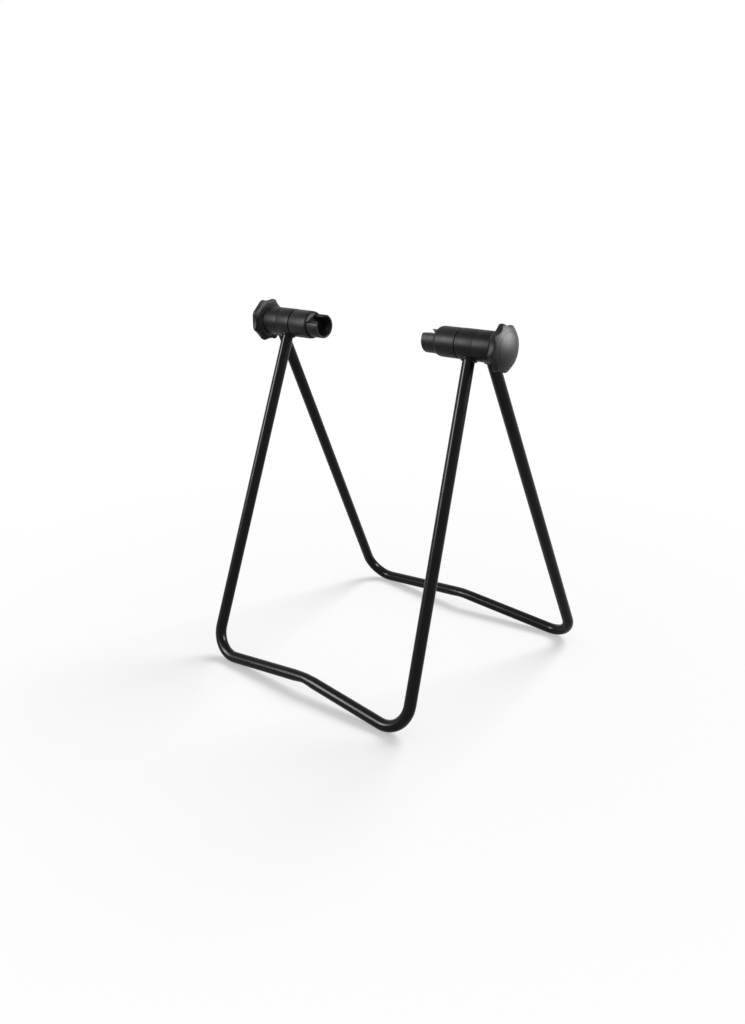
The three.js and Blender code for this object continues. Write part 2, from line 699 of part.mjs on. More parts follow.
/** The hexagon bolt that the knob turns. */
function knobBolt() {
  const seat = BOLT_SEAT + GAP;
  const tip = INSERT_START + GAP;
  const shank = revolve([
    [tip, 0],
    [tip, BOLT_RADIUS - 3 * GAP],
    [tip + 3 * GAP, BOLT_RADIUS],
    [seat + GAP, BOLT_RADIUS],
    [seat + GAP, 0],
  ], SMALL_SIDES);
  const corner = BOLT_HEX / 2 / Math.cos(Math.PI / 6);
  const top = seat + BOLT_HEAD;
  const crown = revolve([
    [seat, 0],
    [seat, corner + GAP],
    [top - 3 * GAP, corner + GAP],
    [top, BOLT_HEX / 2],
    [top, 0],
  ], SMALL_SIDES);
  return hexagon(seat, top, BOLT_HEX).intersect(crown).add(shank);
}

/** The domed cap that closes the knob's outer face over the bolt head. */
function knobCap() {
  const seat = CAP_SEAT_AT + GAP;
  const inner = CAP_RADIUS - CAP_WALL;
  return revolve([
    ...domeArc(0, inner, CAP_WALL),
    [seat, inner],
    [seat, CAP_RADIUS],
    ...domeArc(CAP_RADIUS, 0, 0),
  ]);
}

// ---------------------------------------------------------------------------
// Assembly
// ---------------------------------------------------------------------------

/** One frame with its tube and two sleeves, hung from the hub axis and leaned over. */
function frame(name, layout, lean, sleeve) {
  const group = new THREE.Group();
  group.add(piece(`${name}_frame_tube`, frameTube(layout), FINISHES.powderCoat));
  group.add(piece(`${name}_left_sleeve`, sleeve(layout, -1), FINISHES.powderCoat));
  group.add(piece(`${name}_right_sleeve`, sleeve(layout, 1), FINISHES.powderCoat));
  group.rotation.x = rad(lean);
  return group;
}

/** The turning parts of one side: spindle, cup, spring and the screw that retains the cup. */
function spindleGroup(side, turn) {
  const group = new THREE.Group();
  group.add(piece(`${side}_axle_cup`, axleCup(), FINISHES.nylon));
  group.add(piece(`${side}_spindle`, spindle(), FINISHES.nylon));
  group.add(piece(`${side}_cup_spring`, cupSpring(), FINISHES.springSteel));
  group.add(piece(`${side}_cup_screw`, cupScrew(), FINISHES.zincPlate));
  group.add(piece(`${side}_threaded_insert`, threadedInsert(), FINISHES.brass));
  group.rotation.x = turn;
  return group;
}

/** The knob of one side, with its bolt and cap. */
function knobGroup(side, turn) {
  const group = new THREE.Group();
  group.add(piece(`${side}_knob_body`, knobBody(), FINISHES.knobPlastic));
  group.add(piece(`${side}_knob_bolt`, knobBolt(), FINISHES.zincPlate));
  group.add(piece(`${side}_knob_cap`, knobCap(), FINISHES.knobPlastic));
  group.rotation.x = turn;
  return group;
}

/** The washers of one side. */
function washerGroup(side) {
  const group = new THREE.Group();
  const brake = ring(BRAKE_WASHER_AT, BRAKE_WASHER_AT + BRAKE_WASHER, SLEEVE_BORE, WASHER_RADIUS);
  const thrustEnd = THRUST_WASHER_AT + THRUST_WASHER;
  const thrust = ring(THRUST_WASHER_AT, thrustEnd, INSERT_BORE + GAP, WASHER_RADIUS);
  group.add(piece(`${side}_brake_washer`, brake, FINISHES.acetal));
  group.add(piece(`${side}_thrust_washer`, thrust, FINISHES.zincPlate));
  return group;
}

/** Everything on the hub axis on one side. Stations run towards -X on the left side. */
function hubSide(side, spindleTurn, knobTurn) {
  const group = new THREE.Group();
  group.add(spindleGroup(side, spindleTurn));
  group.add(washerGroup(side));
  group.add(knobGroup(side, knobTurn));
  group.rotation.z = side === 'left' ? Math.PI : 0;
  return group;
}

/** Distance from the hub axis to the outside of a frame's bar, measured along the floor. */
function footReach(lean) {
  return (HUB_HEIGHT - TUBE_RADIUS) * Math.tan(rad(lean)) + TUBE_RADIUS;
}

const nearLayout = frameLayout(
  NEAR_SLEEVE + SLEEVE_LENGTH / 2,
  NEAR_LEAN,
  NEAR_SPLAY,
  NEAR_BAR_SLOPE,
);
const farLayout = frameLayout(FAR_SLEEVE + SLEEVE_LENGTH / 2, FAR_LEAN, FAR_SPLAY, FAR_BAR_SLOPE);

const stand = new THREE.Group();
stand.add(frame('near', nearLayout, -NEAR_LEAN, nearSleeve));
stand.add(frame('far', farLayout, FAR_LEAN, farSleeve));
stand.add(hubSide('left', rad(-LEFT_CUP_TURN), rad(LEFT_KNOB_TURN)));
stand.add(hubSide('right', rad(RIGHT_CUP_TURN), rad(RIGHT_KNOB_TURN)));
stand.position.set(0, (footReach(NEAR_LEAN) - footReach(FAR_LEAN)) / 2, HUB_HEIGHT);

export default stand;
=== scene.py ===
"""A folding floor stand for a bicycle, dressed for a studio photograph.

Two bent steel tubes swing on a common hub axis. On each side a plastic spindle passes through
both of them, with a sprung cup for the end of the wheel's axle and a scalloped knob.
Sizes are written in millimetres and turned to metres where a mesh is made. A "station" is the
distance from the middle of the stand along the hub axis.
"""

import logging
import math
from collections.abc import Callable, Iterable
from dataclasses import dataclass, field
from enum import Enum
from itertools import pairwise
from typing import Any

import bmesh
import bpy
from mathutils import Matrix, Vector


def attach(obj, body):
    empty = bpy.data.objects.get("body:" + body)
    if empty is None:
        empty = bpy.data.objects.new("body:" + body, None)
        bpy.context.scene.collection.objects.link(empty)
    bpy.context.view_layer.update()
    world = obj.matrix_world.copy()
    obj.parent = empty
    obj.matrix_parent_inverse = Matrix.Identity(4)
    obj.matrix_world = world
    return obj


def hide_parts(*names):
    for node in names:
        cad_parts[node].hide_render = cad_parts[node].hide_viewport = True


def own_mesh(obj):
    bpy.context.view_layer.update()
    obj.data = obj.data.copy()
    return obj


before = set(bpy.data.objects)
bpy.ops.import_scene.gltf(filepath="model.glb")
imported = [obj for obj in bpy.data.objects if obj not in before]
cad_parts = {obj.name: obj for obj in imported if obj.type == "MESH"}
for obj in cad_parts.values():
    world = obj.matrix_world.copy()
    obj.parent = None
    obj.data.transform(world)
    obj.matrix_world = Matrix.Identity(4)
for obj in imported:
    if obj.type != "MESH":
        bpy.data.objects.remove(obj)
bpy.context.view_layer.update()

LOG = logging.getLogger("stand")
MM = 0.001

Profile = list[tuple[float, float]]

# Sizes shared by several sub-assemblies, in millimetres and degrees
HUB_HEIGHT = 371.05
HUB_OFFSET = -32.35  # the hub axis along Y
TUBE_RADIUS = 6.35
SLEEVE_BORE = 10.9
SLEEVE_RADIUS = 15.2
SLEEVE_LENGTH = 19.1
SLEEVE_FILL = 0.25  # how much closer the sleeves stand than the solids' drawn gap
HAIRLINE = 0.05  # gap between neighbouring pieces, too thin to show
WELD_DISTANCE = 0.002  # points closer than this become one
ROUND_STEPS = 96  # facets of a turned piece
SMOOTH_ANGLE = math.radians(32)
HUB = Vector((0.0, HUB_OFFSET, HUB_HEIGHT)) * MM

# The opening stop: a tab on each near sleeve, in a notch of the far sleeve
TAB_INNER = 11.2
TAB_OUTER = 13.2
TAB_HEIGHT = 2.6
TAB_FROM = 70.0
TAB_TO = 110.0
TAB_SLACK = 1.5
TAB_ROOT = 0.8  # how far the tab reaches back into its own sleeve
TAB_GAP = 0.3
FOLD_ANGLE = 44.43

KINK = 1  # the kink's place among the bends of a tube


class Side(Enum):
    """The two ends of the hub axis, with the way that stations run."""

    LEFT = -1
    RIGHT = 1

    @property
    def word(self) -> str:
        """The side's name as it stands in piece and body names."""
        return self.name.lower()


# --- Modelling ---


def point(x: float, y: float = 0.0, z: float = 0.0) -> Vector:
    """A place in metres from millimetres."""
    return Vector((x, y, z)) * MM


def fresh(name: str, add: Callable[..., Any], **settings: Any) -> bpy.types.Object:
    """Adds a primitive on its own and opens it in edit mode.

    Args:
        name: name of the new piece.
        add: the operator that adds the primitive.
        **settings: the operator's own settings.

    Returns:
        The new object, with everything in it selected.
    """
    bpy.ops.object.select_all(action="DESELECT")
    add(**settings)
    piece = bpy.context.object
    piece.name = name
    piece.data.name = name
    bpy.ops.object.mode_set(mode="EDIT")
    return piece


def alone(piece: bpy.types.Object) -> None:
    """Selects one object and nothing else, and makes it the active one."""
    bpy.ops.object.select_all(action="DESELECT")
    bpy.context.view_layer.objects.active = piece
    piece.select_set(True)


def reopen(piece: bpy.types.Object) -> None:
    """Opens a finished mesh in edit mode with nothing selected."""
    alone(piece)
    bpy.ops.object.mode_set(mode="EDIT")
    bpy.ops.mesh.select_all(action="DESELECT")


def close(piece: bpy.types.Object) -> bpy.types.Object:
    """Merges doubles, turns all faces outwards and leaves edit mode."""
    bpy.ops.mesh.select_all(action="SELECT")
    bpy.ops.mesh.remove_doubles(threshold=WELD_DISTANCE * MM)
    bpy.ops.mesh.normals_make_consistent(inside=False)
    bpy.ops.object.mode_set(mode="OBJECT")
    return piece


def pick_numbers(piece: bpy.types.Object, numbers: Iterable[int]) -> None:
    """Selects the vertices of a mesh in edit mode by their numbers."""
    bpy.ops.mesh.select_all(action="DESELECT")
    mesh = bmesh.from_edit_mesh(piece.data)
    mesh.verts.ensure_lookup_table()
    for number in numbers:
        mesh.verts[number].select = True
    mesh.select_flush_mode()
    bmesh.update_edit_mesh(piece.data)


def modify(piece: bpy.types.Object, kind: str, **settings: Any) -> None:
    """Adds a modifier and applies it.

    Args:
        piece: the object, in object mode.
        kind: Blender's name for the modifier.
        **settings: the modifier's own settings.
    """
    modifier = piece.modifiers.new(kind.lower(), kind)
    for key, value in settings.items():
        setattr(modifier, key, value)
    alone(piece)
    bpy.ops.object.modifier_apply(modifier=modifier.name)


def combine(piece: bpy.types.Object, tool: bpy.types.Object, operation: str) -> None:
    """Cuts a tool out of a piece, or joins it on, and throws the tool away."""
    modify(piece, "BOOLEAN", object=tool, operation=operation, solver="EXACT")
    bpy.data.objects.remove(tool)


def soften(piece: bpy.types.Object, width: float, segments: int = 3, least: float = 40) -> None:
    """Rounds the sharp edges of a piece.

    Args:
        piece: the object, in object mode.
        width: width of the rounding in millimetres.
        segments: facets across the rounding.
        least: smallest angle between faces, in degrees, that is rounded.
    """
    limit = math.radians(least)
    modify(piece, "BEVEL", width=width * MM, segments=segments, limit_method="ANGLE",
           angle_limit=limit, harden_normals=False)


def smooth(piece: bpy.types.Object) -> None:
    """Shades a piece smooth, apart from edges that are sharp on the real one."""
    alone(piece)
    bpy.ops.object.shade_smooth_by_angle(angle=SMOOTH_ANGLE)


def settle(piece: bpy.types.Object, place: Matrix) -> None:
    """Moves a piece to its place and writes that place into its mesh."""
    piece.matrix_world = place @ piece.matrix_world
    alone(piece)
    bpy.ops.object.transform_apply(location=True, rotation=True, scale=True)


def turned(name: str, profile: Profile, steps: int = ROUND_STEPS) -> bpy.types.Object:
    """Turns a piece on the lathe: draws its half section point by point and spins it.

    Args:
        name: name of the new piece.
        profile: stations and radii in millimetres.
        steps: facets round the axis.

    Returns:
        The closed piece, about the X axis.
    """
    start = point(profile[0][0], 0, profile[0][1])
    piece = fresh(name, bpy.ops.mesh.primitive_plane_add, size=MM, location=start)
    bpy.ops.mesh.merge(type="CENTER")
    for (x0, r0), (x1, r1) in pairwise(profile):
        move = {"value": point(x1 - x0, 0, r1 - r0)}
        bpy.ops.mesh.extrude_region_move(TRANSFORM_OT_translate=move)
    bpy.ops.mesh.select_all(action="SELECT")
    bpy.ops.mesh.spin(steps=steps, angle=math.tau, center=(0, 0, 0), axis=(1, 0, 0))
    close(piece)
    settle(piece, Matrix.Identity(4))
    return piece


def bow(start: Vector, tip: Vector, end: Vector, steps: int) -> Profile:
    """Points of a curve that leaves its start towards a tip and ends as if it came from there.

    Args:
        start: its first point.
        tip: the point that both ends aim at.
        end: its last point.
        steps: facets of the curve.

    Returns:
        The points, from the start to the end.
    """
    shares = [step / steps for step in range(steps + 1)]
    spots = [start * (1 - t) ** 2 + tip * 2 * t * (1 - t) + end * t**2 for t in shares]
    return [(spot.x, spot.y) for spot in spots]


def rounded(corner: tuple[float, float], before: tuple[float, float],
            after: tuple[float, float], radius: float, steps: int = 4) -> Profile:
    """Points of a rounded corner of a half section.

    Args:
        corner: the sharp corner.
        before: the point that the section comes from.
        after: the point that the section goes to.
        radius: how far from the corner the rounding starts, in millimetres.
        steps: facets of the rounding.

    Returns:
        The points, from the first to the last of the rounding.
    """
    tip = Vector(corner)
    start = tip + (Vector(before) - tip).normalized() * radius
    end = tip + (Vector(after) - tip).normalized() * radius
    return bow(start, tip, end, steps)


def soft_section(corners: list[tuple[float, float, float]], closed: bool = True) -> Profile:
    """A half section whose corners are rounded.

    Args:
        corners: station, radius and rounding of each corner, in order.
        closed: whether the section ends where it starts, or on the axis.

    Returns:
        The section's points.
    """
    profile: Profile = []
    count = len(corners)
    for i, (x, r, rounding) in enumerate(corners):
        before, after = corners[i - 1][:2], corners[(i + 1) % count][:2]
        if rounding > 0:
            profile += rounded((x, r), before, after, rounding)
        else:
            profile.append((x, r))
    return [*profile, profile[0]] if closed else profile


def mirrored(piece: bpy.types.Object) -> bpy.types.Object:
    """Mirrors a piece to the other end of the hub axis."""
    settle(piece, Matrix.Diagonal((-1, 1, 1, 1)))
    reopen(piece)
    return close(piece)


def sector(name: str, low: float, high: float, inner: float, outer: float,
           start: float, end: float) -> bpy.types.Object:
    """A sector of a ring about the X axis.

    Args:
        name: name of the piece.
        low: its lower X in millimetres.
        high: its upper X.
        inner: inner radius.
        outer: outer radius.
        start: first angle in degrees from +Y towards +Z.
        end: last angle.

    Returns:
        The closed piece.
    """
    middle = point((low + high) / 2, (inner + outer) / 2, 0)
    piece = fresh(name, bpy.ops.mesh.primitive_plane_add, size=MM, location=middle)
    across = (high - low, outer - inner, 1)
    bpy.ops.transform.resize(value=across, center_override=middle)
    steps = max(2, round((end - start) / 4))
    sweep = math.radians(end - start)
    bpy.ops.mesh.spin(steps=steps, angle=-sweep, center=(0, 0, 0), axis=(1, 0, 0))
    close(piece)
    settle(piece, Matrix.Rotation(math.radians(start), 4, "X"))
    return piece


def block(name: str, low: tuple[float, float, float],
          high: tuple[float, float, float]) -> bpy.types.Object:
    """A square cutting tool between two corners, in millimetres."""
    middle = (point(*low) + point(*high)) / 2
    size = point(*high) - point(*low)
    tool = fresh(name, bpy.ops.mesh.primitive_cube_add, size=1, location=middle)
    bpy.ops.transform.resize(value=size, center_override=middle)
    bpy.ops.object.mode_set(mode="OBJECT")
    settle(tool, Matrix.Identity(4))
    return tool


def hexagon(name: str, across: float, depth: float, station: float) -> bpy.types.Object:
    """A hexagonal cutting tool along the hub axis.

    Args:
        name: name of the tool.
        across: its size over the flats, in millimetres.
        depth: its length.
        station: station of its middle.

    Returns:
        The closed tool.
    """
    tool = fresh(name, bpy.ops.mesh.primitive_cylinder_add, vertices=6,
                 radius=across / math.sqrt(3) * MM, depth=depth * MM,
                 location=point(station), rotation=(0, math.pi / 2, 0))
    bpy.ops.object.mode_set(mode="OBJECT")
    settle(tool, Matrix.Identity(4))
    return tool


@dataclass
class Patterns:
    """Meshes of the pieces that the stand has several of, each modelled once."""

    meshes: dict[str, bpy.types.Mesh] = field(default_factory=dict)

    def take(self, name: str, model: Callable[[], bpy.types.Object]) -> bpy.types.Object:
        """Models a piece the first time it is asked for, and copies it after that.

        Args:
            name: what the piece is called in the shop.
            model: makes the piece.

        Returns:
            A piece with a mesh of its own.
        """
        if name not in self.meshes:
            piece = model()
            self.meshes[name] = piece.data.copy()
            return piece
        piece = bpy.data.objects.new(name, self.meshes[name].copy())
        bpy.context.scene.collection.objects.link(piece)
        return piece

    def clear(self) -> None:
        """Throws the patterns away once every piece is made."""
        for mesh in self.meshes.values():
            bpy.data.meshes.remove(mesh)
        self.meshes.clear()


# --- Finishes ---


def linear(code: str) -> tuple[float, float, float, float]:
    """Turns an sRGB hex colour to Blender's linear values."""
    parts = [int(code[i : i + 2], 16) / 255 for i in (1, 3, 5)]
    red, green, blue = (
        part / 12.92 if part <= 0.04045 else ((part + 0.055) / 1.055) ** 2.4 for part in parts
    )
    return (red, green, blue, 1.0)


Tree = bpy.types.ShaderNodeTree
Link = tuple[bpy.types.Node, str]


def add_node(tree: Tree, kind: str, settings: dict[str, Any] | None = None,
             values: dict[str, Any] | None = None,
             links: dict[str, Link] | None = None) -> bpy.types.Node:
    """Adds one node with its settings and links.

    Args:
        tree: the material's node tree.
        kind: the node's type, without its ShaderNode prefix.
        settings: attributes of the node.
        values: socket values by socket name.
        links: the node and output that feed each socket.

    Returns:
        The new node.
    """
    node = tree.nodes.new("ShaderNode" + kind)
    for key, value in (settings or {}).items():
        setattr(node, key, value)
    for key, value in (values or {}).items():
        node.inputs[key].default_value = value
    for key, (source, output) in (links or {}).items():
        tree.links.new(source.outputs[output], node.inputs[key])
    return node


def spread(tree: Tree, noise: bpy.types.Node, taken: tuple[float, float],
           given: tuple[float, float]) -> bpy.types.Node:
    """Spreads a range of a noise over a range of another value."""
    return add_node(tree, "MapRange", values={"From Min": taken[0], "From Max": taken[1],
                                              "To Min": given[0], "To Max": given[1]},
                    links={"Value": (noise, "Fac")})


def blank(name: str) -> tuple[bpy.types.Material, Tree, bpy.types.Node]:
    """An empty material, its tree and its output node."""
    material = bpy.data.materials.new(name)
    material.use_nodes = True
    tree = material.node_tree
    tree.nodes.clear()
    output = add_node(tree, "OutputMaterial")
    return material, tree, output


CLOUD_RANGE = (0.42, 0.72)  # noise values between which the worn colour comes in
ROUGH_RANGE = (0.3, 0.7)  # noise values between which the roughness rises


@dataclass(frozen=True)
class Finish:
    """A surface with one body colour, a cloudy variation and a fine relief.

    Attributes:
        name: the material's name.
        slot: the record's material slot; not used.
        colour: body colour as sRGB hex.
        worn: colour of its lighter clouds or of its wear.
        metallic: 1 on bare metal, 0 on paint and plastic.
        roughness: lowest and highest roughness.
        cloud: width of the clouds in millimetres.
        clouding: share of the worn colour at its strongest.
        grain: width of the relief's bumps in millimetres.
        relief: height of the relief in millimetres.
        stretch: how much longer the grain is along the hub axis than across it.
        ior: refractive index; a metal keeps the usual one.
    """

    name: str
    slot: str
    colour: str
    worn: str
    metallic: float
    roughness: tuple[float, float]
    cloud: float
    clouding: float
    grain: float
    relief: float
    stretch: float = 1.0
    ior: float = 1.45

    def build(self) -> bpy.types.Material:
        """Makes the material.

        Returns:
            The new material.
        """
        material, tree, output = blank(self.name)
        place = add_node(tree, "TexCoord")
        cloud = add_node(tree, "TexNoise", values={"Scale": 1 / (self.cloud * MM), "Detail": 4.0,
                                                   "Roughness": 0.6},
                         links={"Vector": (place, "Object")})
        share = spread(tree, cloud, CLOUD_RANGE, (0.0, self.clouding))
        body = add_node(tree, "Mix", {"data_type": "RGBA"}, links={"Factor": (share, "Result")})
        body.inputs[6].default_value = linear(self.colour)
        body.inputs[7].default_value = linear(self.worn)
        along = add_node(tree, "Mapping", values={"Scale": (1 / self.stretch, 1.0, 1.0)},
                         links={"Vector": (place, "Object")})
        grain = add_node(tree, "TexNoise", values={"Scale": 1 / (self.grain * MM), "Detail": 2.0,
                                                   "Roughness": 0.5},
                         links={"Vector": (along, "Vector")})
        rough = spread(tree, cloud, ROUGH_RANGE, self.roughness)
        bump = add_node(tree, "Bump", values={"Strength": 1.0, "Distance": self.relief * MM},
                        links={"Height": (grain, "Fac")})
        shader = add_node(tree, "BsdfPrincipled",
                          values={"Metallic": self.metallic, "IOR": self.ior},
                          links={"Roughness": (rough, "Result"), "Normal": (bump, "Normal")})
        tree.links.new(body.outputs[2], shader.inputs["Base Color"])
        tree.links.new(shader.outputs["BSDF"], output.inputs["Surface"])
        return material


# Polyester powder, sprayed dry on bent steel tube and baked: a deep black with a wet gloss,
# whose orange peel, waves 3 mm wide and a few microns high, makes long highlights waver.
POWDER_COAT = Finish("powder_coated_steel", "powder_coat", "#09090a", "#101011", 0.0,
                     (0.22, 0.29), 24.0, 0.7, 3.0, 0.006, ior=1.21)

# The same powder on the sleeves: their thick wall heats slowly in the oven, and the coat stays
# satin, with a finer peel and paler clouds where hands have rubbed it.
SLEEVE_COAT = Finish("powder_coated_sleeve", "powder_coat", "#111112", "#1d1d1f", 0.0,
                     (0.38, 0.48), 8.0, 0.8, 1.2, 0.012, ior=1.2)

# Glass-filled nylon moulded in a spark-eroded tool: charcoal, half matt, with a 0.5 mm grain and
# paler clouds where the glass fibres lie near the skin. The real grain, 0.1 mm, would not show.
GLASS_NYLON = Finish("moulded_glass_filled_nylon", "nylon", "#1a1a1d", "#29292d", 0.0,
                     (0.38, 0.48), 7.0, 0.8, 0.5, 0.02, 2.5, 1.22)

# ABS moulded in a finely blasted tool: a smoother, satin black that takes a broad soft highlight.
KNOB_ABS = Finish("moulded_abs", "knob_plastic", "#0b0b0c", "#151516", 0.0,
                  (0.48, 0.56), 9.0, 0.7, 0.6, 0.008, ior=1.26)

# Acetal washer punched from sheet: waxy, dark and almost featureless, rubbed smooth in use.
ACETAL = Finish("punched_acetal", "acetal", "#0e0e0f", "#19191a", 0.0,
                (0.4, 0.5), 5.0, 0.5, 0.8, 0.006, ior=1.38)

# Bright zinc plate on turned steel: cool grey with faintly bluish and yellowish clouds.
ZINC_PLATE = Finish("zinc_plated_steel", "zinc_steel", "#a9adb2", "#b5b09f", 1.0,
                    (0.28, 0.4), 4.0, 0.8, 0.4, 0.004, ior=1.5)

# Patented spring wire, drawn and oiled: darker than plate, with fine die lines.
SPRING_WIRE = Finish("drawn_spring_wire", "spring_steel", "#7d7c7a", "#93918c", 1.0,
                     (0.25, 0.36), 3.0, 0.7, 0.3, 0.004, ior=1.5)

# Brass turned from bar: warm yellow, browned a little where fingers and plastic touched it.
TURNED_BRASS = Finish("turned_brass", "brass", "#b08d3e", "#8f7036", 1.0,
                      (0.26, 0.38), 4.0, 0.6, 0.35, 0.004, 0.3, 1.5)


@dataclass
class Palette:
    """The finishes of the stand, made once each."""

    made: dict[str, bpy.types.Material] = field(default_factory=dict)

    def dress(self, piece: bpy.types.Object, finish: Finish) -> None:
        """Gives a piece a finish.

        Args:
            piece: a new piece or a CAD node.
            finish: the finish.
        """
        if finish.name not in self.made:
            self.made[finish.name] = finish.build()
        piece.data.materials.clear()
        piece.data.materials.append(self.made[finish.name])


# --- Frames ---


@dataclass
class BentFrame:
    """One frame of the stand: a bent tube with a sleeve and a weld on each leg top.

    Attributes:
        name: near or far, as in the body names.
        palette: the finishes.
        patterns: the pieces that repeat.
        sleeve_start: station of the inner end of its sleeves.
        lean: lean of the legs in degrees, negative towards the viewer.
        splay: how far each leg spreads towards the floor, in degrees.
        slope: rise of the bar towards its middle, in degrees.
    """

    name: str
    palette: Palette
    patterns: Patterns
    sleeve_start: float
    lean: float
    splay: float
    slope: float
    corner_radius: float = 28.0
    kink_radius: float = 42.0
    kink_length: float = 26.0
    kink_squash: float = 1.3
    coat_radius: float = 6.24  # a hair under the stock size, to stay inside the solid's facets
    wall: float = 1.4
    sides: int = 40
    bead_radius: float = 1.7
    bead_ripples: int = 32
    bead_rise: float = 0.35  # how far its middle stands off the tube, as a share of its radius
    ripple_depth: float = 0.16

    @property
    def body(self) -> str:
        """The CAD body that the frame is."""
        return f"{self.name}_frame"

    @property
    def half_width(self) -> float:
        """Station of the legs at the hub."""
        return self.sleeve_start + SLEEVE_LENGTH / 2

    @property
    def place(self) -> Matrix:
        """Where the frame's own plane stands: leaned over, on the hub axis."""
        return Matrix.Translation(HUB) @ Matrix.Rotation(math.radians(self.lean), 4, "X")

    @property
    def leg_length(self) -> float:
        """Distance down a leg from the hub axis to the corner where leg and bar would meet."""
        leg = math.pi / 2 + math.radians(self.splay)
        bar = math.pi - math.radians(self.slope)
        half, bisector = (bar - leg) / 2, (bar + leg) / 2
        rise = self.corner_radius * (math.sin(bisector) / math.sin(half) - 1)
        return (HUB_HEIGHT - TUBE_RADIUS) / math.cos(math.radians(self.lean)) + rise

    def corners(self) -> list[Vector]:
        """The five points between which the centre line runs straight, in metres."""
        drop = self.leg_length
        foot = self.half_width + drop * math.tan(math.radians(self.splay))
        rise = foot * math.tan(math.radians(self.slope))
        return [
            point(-self.half_width), point(-foot, 0, -drop), point(0, 0, rise - drop),
            point(foot, 0, -drop), point(self.half_width),
        ]

    def bend_tube(self) -> bpy.types.Object:
        """Bends the tube as a bender does, run by run, and gives it its wall.

        Returns:
            The tube in the frame's own plane.
        """
        corners = self.corners()
        down = (corners[1] - corners[0]).normalized()
        tilt = math.atan2(down.x, down.z)
        tube = fresh(f"{self.name}_bent_tube", bpy.ops.mesh.primitive_circle_add,
                     vertices=self.sides, radius=self.coat_radius * MM, location=corners[0],
                     rotation=(0, tilt, 0))
        radii = [self.corner_radius, self.kink_radius, self.corner_radius]
        rings = [18, 8, 18]
        stand = corners[0]
        for i, (radius, steps) in enumerate(zip(radii, rings)):
            inward = (corners[i + 1] - corners[i]).normalized()
            outward = (corners[i + 2] - corners[i + 1]).normalized()
            turn = inward.angle(outward)
            start = corners[i + 1] - inward * radius * MM * math.tan(turn / 2)
            if i == KINK:
                lead = start - inward * self.kink_length / 2 * MM
                self.run_to(stand, lead)
                self.run_to(lead, start, 4)
            else:
                self.run_to(stand, start)
            axis = inward.cross(outward).normalized()
            centre = start + axis.cross(inward) * radius * MM
            bpy.ops.mesh.spin(steps=steps, angle=-turn, center=centre, axis=axis)
            stand = centre + Matrix.Rotation(turn, 3, axis) @ (start - centre)
            if i == KINK:
                lead = stand + outward * self.kink_length / 2 * MM
                self.run_to(stand, lead, 4)
                stand = lead
        self.run_to(stand, corners[-1])
        self.squash_kink(tube, corners[2])
        close(tube)
        settle(tube, Matrix.Identity(4))
        modify(tube, "SOLIDIFY", thickness=self.wall * MM, offset=-1.0, use_even_offset=True)
        reach = self.half_width + 2 * SLEEVE_LENGTH
        cope = turned("cope", [(-reach, 0), (-reach, SLEEVE_RADIUS + HAIRLINE),
                               (reach, SLEEVE_RADIUS + HAIRLINE), (reach, 0)])
        combine(tube, cope, "DIFFERENCE")
        return tube

    def run_to(self, start: Vector, end: Vector, rings: int = 8) -> None:
        """Extrudes the tube's open end along a straight run, with rings on the way."""
        for _ in range(rings):
            move = {"value": (end - start) / rings}
            bpy.ops.mesh.extrude_region_move(TRANSFORM_OT_translate=move)

    def squash_kink(self, tube: bpy.types.Object, crest: Vector) -> None:
        """Flattens the tube where the press bent it, in mid bar.

        Args:
            tube: the tube in edit mode, ring after ring in the order of making.
            crest: where the two halves of the bar would meet.
        """
        reach = self.kink_length / 2
        mesh = bmesh.from_edit_mesh(tube.data)
        mesh.verts.ensure_lookup_table()
        world = [tube.matrix_world @ vertex.co for vertex in mesh.verts]
        for ring in range(len(world) // self.sides):
            members = range(ring * self.sides, (ring + 1) * self.sides)
            station = sum(world[i].x for i in members) / self.sides / MM
            fade = max(0.0, 1 - (station / reach) ** 2)
            if fade > 0:
                pick_numbers(tube, members)
                flat = 1 - fade * self.kink_squash / (2 * TUBE_RADIUS)
                bpy.ops.transform.resize(value=(1, 1, flat), center_override=crest)

    def turn_sleeve(self) -> bpy.types.Object:
        """Turns the right sleeve and gives it its half of the opening stop.

        Returns:
            The sleeve in the frame's own plane.
        """
        start, end = self.sleeve_start, self.sleeve_start + SLEEVE_LENGTH
        outer, inner = 0.4, 0.15
        if self.has_tab:
            end += SLEEVE_FILL
            outer, inner = inner, outer
        corners = [(start, SLEEVE_BORE, 0.3), (start, SLEEVE_RADIUS, inner),
                   (end, SLEEVE_RADIUS, outer), (end, SLEEVE_BORE, 0.3)]
        sleeve = turned("hub_sleeve", soft_section(corners))
        low, high = self.stop_stations()
        if self.has_tab:
            tab = sector("tab", low, high, TAB_INNER, TAB_OUTER, TAB_FROM, TAB_TO)
            combine(sleeve, tab, "UNION")
        else:
            start_angle = TAB_FROM - FOLD_ANGLE - TAB_SLACK
            notch = sector("notch", low, high, SLEEVE_BORE - 1, TAB_OUTER + TAB_GAP, start_angle,
                           TAB_TO + TAB_SLACK)
            combine(sleeve, notch, "DIFFERENCE")
        return sleeve

    @property
    def has_tab(self) -> bool:
        """The near sleeves carry the tab, and the far ones the notch that it runs in."""
        return self.name == "near"

    def stop_stations(self) -> tuple[float, float]:
        """Stations between which the tab or its notch lies."""
        start, end = self.sleeve_start, self.sleeve_start + SLEEVE_LENGTH
        if self.has_tab:
            return end - TAB_ROOT, end + TAB_HEIGHT
        return start - 1, start + TAB_HEIGHT + TAB_GAP

